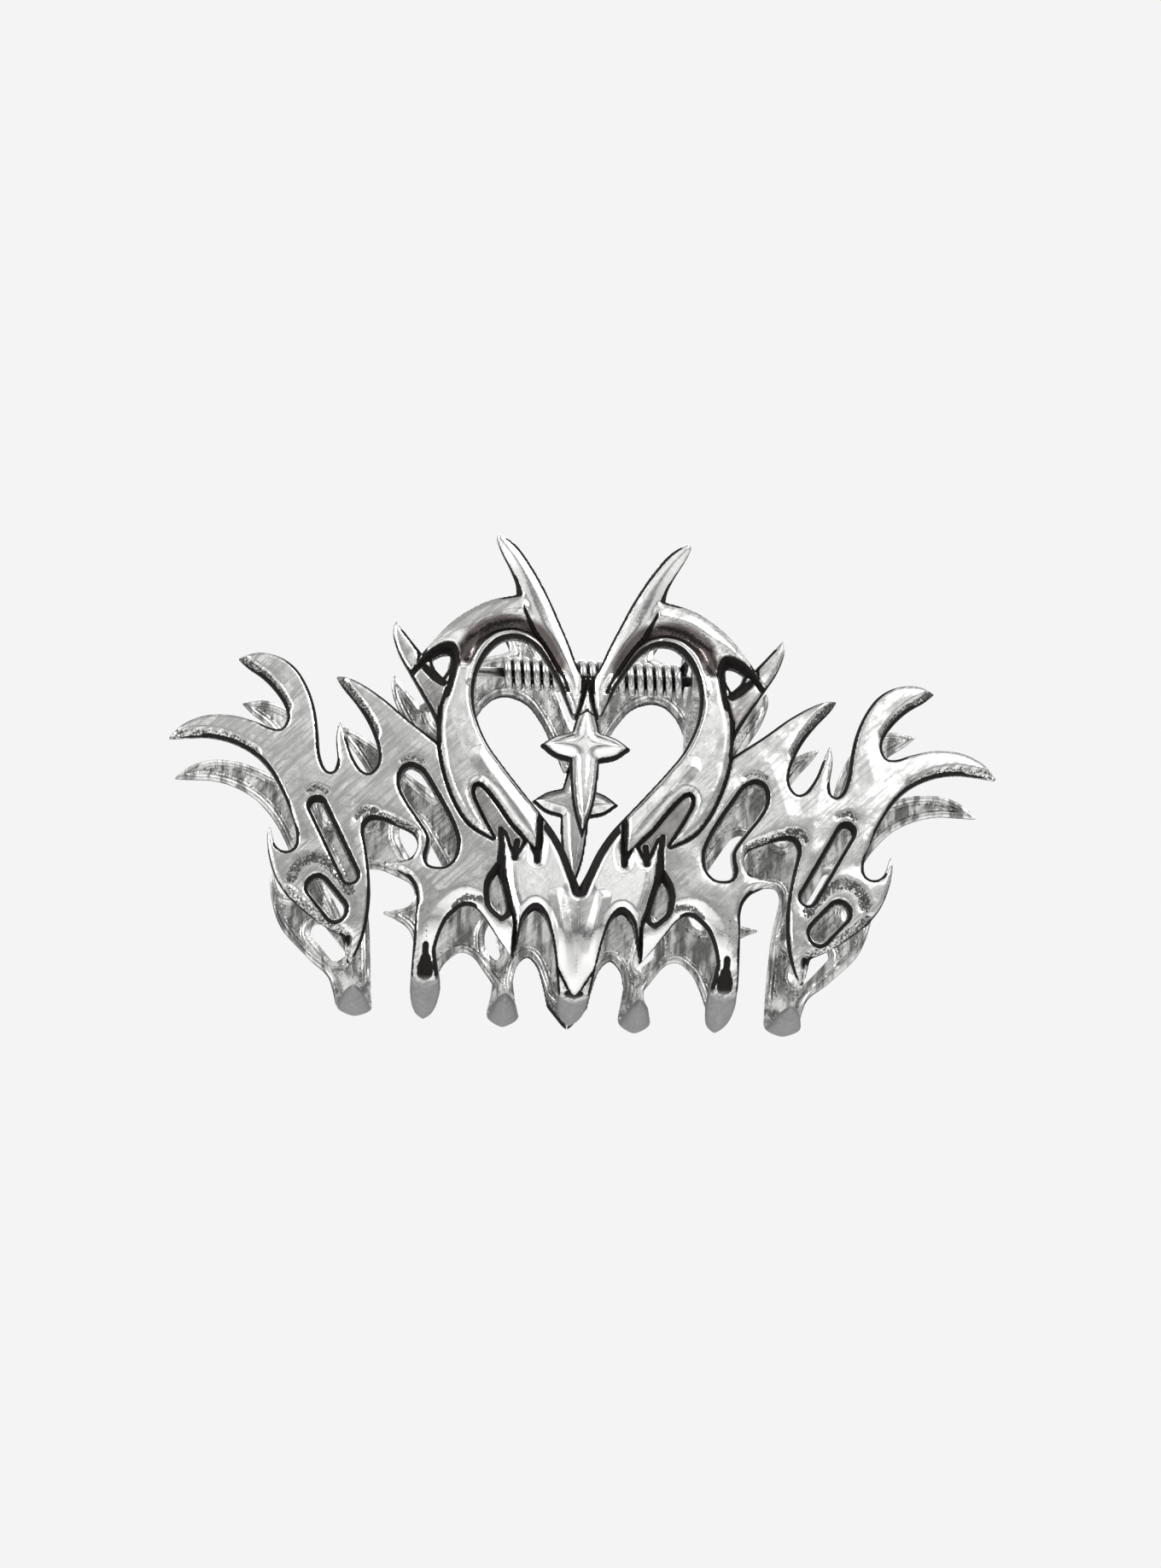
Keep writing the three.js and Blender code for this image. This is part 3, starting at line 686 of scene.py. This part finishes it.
def ear(start, turned):
    """A hinge tab from the plate to a round end on the hinge axis."""
    turn = np.radians(np.linspace(-125, 100, 40))
    outline = [(EAR_RADIUS * math.cos(a), EAR_RADIUS * math.sin(a)) for a in turn]
    outline += [(-HALF_GAP - EAR_INTO_PLATE, z) for z in (EAR_ROOT_TOP, EAR_ROOT_LOW)]
    side = -1 if turned else 1
    vertices = []
    for x in (start, start + EAR_THICKNESS):
        vertices += [(side * x * MM, side * y * MM, (z + HINGE_HEIGHT) * MM) for y, z in outline]
    n = len(outline)
    faces = [tuple(range(n))[::-1], tuple(range(n, 2 * n))]
    faces += [(i, (i + 1) % n, n + (i + 1) % n, n + i) for i in range(n)]
    return rounded_edges(add_mesh("ear", vertices, faces), width=0.22)


def ring_faces(rings, sides):
    """Faces of a closed skin over rings of vertices, with a cap at each end."""
    faces = []
    for i in range(rings - 1):
        for k in range(sides):
            a, b = i * sides + k, i * sides + (k + 1) % sides
            faces.append((a, b, b + sides, a + sides))
    return faces + [tuple(range(sides))[::-1], tuple(range((rings - 1) * sides, rings * sides))]


def lathe(name, outline, sides=48):
    """A turned piece about the hinge axis from (x, radius) points that start and end on the axis."""
    vertices = []
    for x, radius in outline:
        for k in range(sides):
            a = 2 * math.pi * k / sides
            y, z = radius * math.cos(a), radius * math.sin(a) + HINGE_HEIGHT
            vertices.append((x * MM, y * MM, z * MM))
    return add_mesh(name, vertices, ring_faces(len(outline), sides))


def pin_outline():
    """The pin's outline: plain shank, and at each end a short step and a domed, hammered head."""
    step, rim, dome, axis = 0.15, 0.12, 0.25, 0.02
    half = [(0.0, PIN_RADIUS), (PIN_END, PIN_RADIUS)]
    half += [(PIN_END, HEAD_RADIUS - step), (PIN_END + rim, HEAD_RADIUS)]
    for a in np.linspace(0, math.pi / 2, 10)[1:]:
        x = PIN_END + dome + (HEAD_LENGTH - dome) * math.sin(a)
        half.append((x, max(HEAD_RADIUS * math.cos(a), axis)))
    return [(-x, r) for x, r in reversed(half[1:])] + half


def tube(name, centres, radius, sides=14):
    """A round wire along a line of points, with rounded ends, and painted shade that grows towards the
    hinge axis and darkens the wire between turns.
    """
    c = np.array(centres)
    tangents = np.gradient(c, axis=0)
    tangents /= np.linalg.norm(tangents, axis=1)[:, None]
    side = np.cross(tangents, (1.0, 0.0, 0.0))
    side /= np.linalg.norm(side, axis=1)[:, None]
    other = np.cross(tangents, side)
    shrink = np.ones(len(c))
    for k, share in enumerate((0.35, 0.75, 0.94)):
        shrink[k] = shrink[-1 - k] = share
    turn = np.linspace(0, 2 * math.pi, sides, endpoint=False)
    ring = np.cos(turn)[None, :, None] * side[:, None] + np.sin(turn)[None, :, None] * other[:, None]
    vertices = (c[:, None] + ring * (radius * shrink)[:, None, None]).reshape(-1, 3)
    outward = np.hypot(vertices[:, 1], vertices[:, 2]) - COIL_RADIUS
    vertices[:, 2] += HINGE_HEIGHT
    obj = add_mesh(name, vertices * MM, ring_faces(len(c), sides))
    # Painted shade on the side of the wire towards the hinge axis, between the turns
    add_values(obj, "black_and_painted_shade", ramp(-outward, -0.46, -0.2))
    return obj


def coil_point(share):
    """Point on the coil's centre line, from its left end at 0 to its right end at 1."""
    sweep = 2 * math.pi * COIL_TURNS - 2 * LEG_LEAN
    angle = math.pi / 2 + LEG_LEAN + share * sweep
    x = COIL_LEFT + WIRE + share * (COIL_RIGHT - COIL_LEFT - 2 * WIRE)
    return np.array([x, COIL_RADIUS * math.cos(angle), COIL_RADIUS * math.sin(angle)])


def leg_points(share, sign):
    """A straight leg from the coil's end to a jaw's inner face."""
    start = coil_point(share)
    direction = np.array([0, sign * math.cos(LEG_LEAN), math.sin(LEG_LEAN)])
    length = HALF_GAP + WIRE / 2
    rounded_end = [length - 0.15, length - 0.05, length]
    steps = np.concatenate([np.linspace(0, length - 0.3, 12), rounded_end])
    return [start + direction * t for t in steps]


def spring():
    """Coil with its front leg, and the back leg with the coil's end turn, which the back jaw carries."""
    turn = 1 / COIL_TURNS
    coil = [coil_point(s) for s in np.linspace(turn, 1, 40 * COIL_TURNS)]
    front = tube("spring_coil", coil + leg_points(1, -1)[1:], WIRE)
    end_turn = [coil_point(s) for s in np.linspace(0, turn, 40)]
    back = tube("spring_back_leg", leg_points(0, 1)[:0:-1] + end_turn, WIRE)
    return front, back


# ------------------------------------------------------------------ materials

class Nodes:
    """Short helper for building a node tree."""

    def __init__(self, tree):
        self.tree = tree

    def add(self, kind, **inputs):
        """New node with its inputs plugged by name."""
        node = self.tree.nodes.new(kind)
        for key, value in inputs.items():
            self.plug(node, key, value)
        return node

    def plug(self, node, key, value):
        """Links an output to an input, or sets the input to a number."""
        if hasattr(value, "links"):
            self.tree.links.new(value, node.inputs[key])
        else:
            node.inputs[key].default_value = value

    def noise(self, scale, detail=4.0, roughness=0.55, stretch=None, turn=None, place="Object"):
        """Noise over object coordinates, which can be turned and then stretched."""
        where = self.tree.nodes.new("ShaderNodeTexCoord").outputs[place]
        if turn:
            where = self.add("ShaderNodeMapping", Vector=where, Rotation=turn).outputs["Vector"]
        if stretch:
            where = self.add("ShaderNodeMapping", Vector=where, Scale=stretch).outputs["Vector"]
        grain = {"Scale": scale, "Detail": detail, "Roughness": roughness}
        return self.add("ShaderNodeTexNoise", Vector=where, **grain).outputs["Fac"]

    def value(self, name):
        """A mark that the mesh carries at its vertices."""
        node = self.tree.nodes.new("ShaderNodeAttribute")
        node.attribute_name = name
        return node.outputs["Fac"]

    def math(self, operation, a, b):
        """Result of a math node on two values."""
        node = self.tree.nodes.new("ShaderNodeMath")
        node.operation = operation
        self.plug(node, 0, a)
        self.plug(node, 1, b)
        return node.outputs[0]

    def plus(self, a, b):
        return self.math("ADD", a, b)

    def times(self, a, b):
        return self.math("MULTIPLY", a, b)

    def rest_of(self, value):
        return self.math("SUBTRACT", 1.0, value)

    def stretch(self, value, low, high, to_low=0.0, to_high=1.0):
        """Smooth step of a value between two limits."""
        node = self.tree.nodes.new("ShaderNodeMapRange")
        node.interpolation_type = "SMOOTHSTEP"
        self.plug(node, 0, value)
        for index, number in enumerate((low, high, to_low, to_high), start=1):
            self.plug(node, index, number)
        return node.outputs[0]

    def mixed(self, factor, a, b):
        """Colour between two colours or outputs."""
        node = self.tree.nodes.new("ShaderNodeMix")
        node.data_type = "RGBA"
        colour_a, colour_b, result = 6, 7, 2
        self.plug(node, 0, factor)
        self.plug(node, colour_a, a)
        self.plug(node, colour_b, b)
        return node.outputs[result]

    def bumps(self, height, strength, distance, normal=None):
        """Bump of a height over the mesh or over an earlier bump."""
        node = self.add("ShaderNodeBump", Height=height, Strength=strength, Distance=distance)
        if normal is not None:
            self.tree.links.new(normal, node.inputs["Normal"])
        return node.outputs["Normal"]


def grey(light, warm=0.0):
    """An opaque grey, with a little less blue when it is warm."""
    return (light, light, light - warm, 1)


def new_material(name):
    """Material with its node helper and its shader."""
    material = bpy.data.materials.new(name)
    material.use_nodes = True
    return material, Nodes(material.node_tree), material.node_tree.nodes["Principled BSDF"]


SILVER_MARKS = ("black_and_painted_shade", "stain", "shade", "polish_and_highlight", "tooth", "inner")
# Antique black, also the colour of the painted shade on rims and walls
BLACK = (0.010, 0.0085, 0.008, 1)
BROWN = (0.09, 0.068, 0.064, 1)


def silver_black(n, mark, speckle):
    """How black the silver is: solid in recesses and in the painted shade on rims and walls, speckled in
    stippled grooves, not on the teeth.
    """
    edge = n.plus(mark["black_and_painted_shade"], n.stretch(speckle, 0.3, 0.7, -0.12, 0.12))
    stipple = n.stretch(n.plus(speckle, n.times(mark["stain"], 0.45)), 0.72, 0.84)
    dark = n.math("MAXIMUM", n.stretch(edge, 0.35, 0.65), n.times(stipple, 0.9))
    return n.times(dark, n.rest_of(mark["tooth"]))


def silver_tone(n, mark, noises, matt, lines):
    """Colour of the bare silver: clouded and brushed, bright where buffed and where a highlight is
    painted, and painted darker inside as shade, in light and dark streaks.
    """
    tone = n.mixed(n.stretch(noises["cloud"], 0.38, 0.66), grey(0.86, 0.01), grey(0.60, 0.01))
    tone = n.mixed(lines, tone, grey(0.34, 0.005))
    # Brighter where buffed and where the highlight is painted
    tone = n.mixed(n.times(mark["polish_and_highlight"], 0.7), tone, grey(0.93, 0.01))
    pits = n.times(n.stretch(noises["speckle"], 0.52, 0.7, 0.0, 0.5), matt)
    tone = n.mixed(pits, tone, grey(0.3, 0.005))
    # The inside is painted darker, as shade, with light and dark streaks
    shaded_inside = n.mixed(n.stretch(noises["streaks"], 0.4, 0.6), grey(0.76, 0.01), grey(0.22, 0.003))
    tone = n.mixed(mark["inner"], tone, shaded_inside)
    tone = n.mixed(n.times(mark["shade"], 0.92), tone, BROWN)
    return n.mixed(mark["tooth"], tone, grey(0.29))


def silver_roughness(n, mark, cloud, matt, lines, dark):
    """Roughness: glossy in clouds, and duller where matt, scratched, black or on a tooth."""
    rough = n.plus(n.stretch(cloud, 0.35, 0.65, 0.12, 0.2), n.times(matt, 0.08))
    for share, amount in ((lines, 0.25), (dark, 0.4), (mark["tooth"], 0.2)):
        rough = n.plus(rough, n.times(share, amount))
    return rough


def silver_bumps(n, mark, noises):
    """Fine relief: a hammered skin and brush marks, nearly smooth on the teeth, and streaks inside."""
    off_tooth = n.rest_of(n.times(mark["tooth"], 0.9))
    normal = None
    for name, where, strength, depth in (("cloud", off_tooth, 0.2, 0.0004),
                                         ("grain", off_tooth, 0.4, 0.00008),
                                         ("brushed", off_tooth, 0.35, 0.00003),
                                         ("streaks", mark["inner"], 0.4, 0.0002)):
        normal = n.bumps(n.times(noises[name], where), strength, depth, normal)
    return normal


def antique_silver():
    """Bright plated casting with blackened recesses, brushed scratches and a slightly hammered skin, with
    painted shade on rims, walls and inside, and a painted highlight.
    """
    material, n, shader = new_material("antique_silver")
    noises = {"grain": n.noise(700.0, 5.0),
              "cloud": n.noise(190.0, 4.0, 0.6),
              "speckle": n.noise(3800.0, 3.0, 0.7),
              "brushed": n.noise(2100.0, 4.0, 0.6, stretch=(1.0, 1.0, 0.06), turn=(0.0, -0.785, 0.0)),
              "streaks": n.noise(900.0, 4.0, 0.6, stretch=(1.0, 1.0, 0.2))}
    mark = {name: n.value(name) for name in SILVER_MARKS}
    matt = n.rest_of(n.times(mark["polish_and_highlight"], 0.85))
    lines = n.times(n.times(n.stretch(noises["brushed"], 0.45, 0.58), 0.85), matt)
    dark = silver_black(n, mark, noises["speckle"])
    n.plug(shader, "Base Color", n.mixed(dark, silver_tone(n, mark, noises, matt, lines), BLACK))
    n.plug(shader, "Metallic", n.stretch(dark, 0.2, 1.0, 1.0, 0.0))
    n.plug(shader, "Roughness", silver_roughness(n, mark, noises["cloud"], matt, lines, dark))
    n.plug(shader, "Specular IOR Level", 0.15)
    n.plug(shader, "Normal", silver_bumps(n, mark, noises))
    return material


def bright_steel(name, light, roughness):
    """Plated wire with faint drawing lines and dull spots, and painted shade, nearly black, where the
    wire carries it.
    """
    material, n, shader = new_material(name)
    spots = n.noise(1300.0, 4.0)
    lines = n.noise(3500.0, 2.0, stretch=(0.1, 1.0, 1.0))
    dull = 0.7
    tone = n.mixed(n.stretch(spots, 0.4, 0.7), grey(light, 0.01), grey(light * dull, 0.01 * dull))
    # Painted shade, nearly black, where the wire carries it
    n.plug(shader, "Base Color", n.mixed(n.value("black_and_painted_shade"), tone, grey(0.03)))
    n.plug(shader, "Metallic", 1.0)
    n.plug(shader, "Roughness", n.stretch(spots, 0.3, 0.7, roughness, roughness + 0.14))
    n.plug(shader, "Normal", n.bumps(lines, 0.25, 0.00002))
    return material


def matt_paint(name, light):
    """Plain pale paint."""
    material, n, shader = new_material(name)
    n.plug(shader, "Base Color", grey(light))
    n.plug(shader, "Roughness", 0.9)
    return material


# ------------------------------------------------------------------ the clip

def dress(obj, material, body):
    """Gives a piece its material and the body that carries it."""
    obj.data.materials.clear()
    obj.data.materials.append(material)
    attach(obj, body)
    return obj


def add_jaw(body, teeth, ear_start, turned, silver):
    """A jaw's casting and its pair of hinge ears."""
    jaw = dress(sculpted_jaw(body + "_casting", teeth, turned), silver, body)
    ears = [ear(start, turned) for start in (ear_start, -ear_start - EAR_THICKNESS)]
    dress(joined(body + "_ears", ears), silver, body)
    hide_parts(body + "_jaw")


def add_pin():
    """The headed pin, fast in the front jaw."""
    pin = dress(lathe("pin", pin_outline()), bright_steel("pin_steel", 0.66, 0.24), "front")
    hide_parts("hinge_pin")


def add_spring():
    """The spring in two pieces, one on each jaw."""
    steel = bright_steel("spring_steel", 0.8, 0.14)
    coil, back_leg = spring()
    dress(coil, steel, "front")
    dress(back_leg, steel, "back")
    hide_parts("torsion_spring")


# ------------------------------------------------------------------ studio

def area_light(name, place, width, height, power):
    """A rectangular light aimed at the middle of the clip."""
    light = bpy.data.lights.new(name, "AREA")
    light.shape = "RECTANGLE"
    light.size, light.size_y = width, height
    light.energy = power
    obj = bpy.data.objects.new(name, light)
    obj.location = place
    toward = Vector((0, 0, 0.005)) - obj.location
    obj.rotation_euler = toward.to_track_quat("-Z", "Y").to_euler()
    bpy.context.scene.collection.objects.link(obj)


def add_floor(height=-0.22, reach=2):
    """Plain pale floor under the clip."""
    corners = [(x * reach, y * reach, height) for x, y in ((-1, -1), (1, -1), (1, 1), (-1, 1))]
    floor = add_mesh("floor", corners, [(0, 1, 2, 3)], smooth=False)
    floor.data.materials.append(matt_paint("studio_floor", 0.86))


def studio_world():
    """White backdrop behind the clip; the light around it falls off to the left and downwards."""
    world = bpy.data.worlds.new("studio")
    world.use_nodes = True
    n = Nodes(world.node_tree)
    toward = n.tree.nodes.new("ShaderNodeTexCoord").outputs["Generated"]
    split = n.add("ShaderNodeSeparateXYZ", Vector=toward)
    across = n.stretch(split.outputs["X"], -0.5, 0.5, 0.1, 0.18)
    above = n.stretch(split.outputs["Z"], -0.08, 0.3, 0.0, 0.56)
    patches = n.stretch(n.noise(5.0, 2.0, place="Generated"), 0.38, 0.62, 0.4, 1.75)
    around = n.times(n.plus(across, above), patches)
    seen = n.tree.nodes.new("ShaderNodeLightPath").outputs["Is Camera Ray"]
    backdrop = 0.905
    background = n.tree.nodes["Background"]
    n.plug(background, "Color", grey(1))
    n.plug(background, "Strength", n.plus(n.times(seen, backdrop), n.times(around, n.rest_of(seen))))
    bpy.context.scene.world = world


def add_camera():
    """Camera in front of the clip and a little below it, looking slightly up."""
    target = Vector((0.09, 0, HINGE_HEIGHT - 13.55)) * MM
    away, upwards, yaw, roll = 0.567, math.radians(15.0), math.radians(2.1), math.radians(2.35)
    # The view takes in this height at the clip's front, which is nearer than the target
    view_height, nearer, film = 0.1836, 0.020, 36
    camera = bpy.data.objects.new("camera", bpy.data.cameras.new("camera"))
    camera.data.lens = film * (away - nearer) / view_height
    aim = Matrix.Rotation(-yaw, 4, "Z") @ Matrix.Rotation(math.pi / 2 + upwards, 4, "X")
    step_back = Matrix.Translation((0, 0, away)) @ Matrix.Rotation(roll, 4, "Z")
    camera.matrix_world = Matrix.Translation(target) @ aim @ step_back
    bpy.context.scene.collection.objects.link(camera)
    bpy.context.scene.camera = camera


silver = antique_silver()
add_jaw("front", FRONT_TEETH, FRONT_EAR, False, silver)
add_jaw("back", BACK_TEETH, BACK_EAR, True, silver)
add_pin()
add_spring()

add_floor()
studio_world()
area_light("key", (0.30, -0.45, 0.35), 0.28, 0.28, 2.0)
area_light("side", (-0.45, -0.25, 0.15), 0.06, 0.4, 1.5)
area_light("behind", (0.1, 0.5, 0.35), 0.4, 0.3, 1.2)
add_camera()
bpy.context.scene.view_settings.view_transform = "Standard"
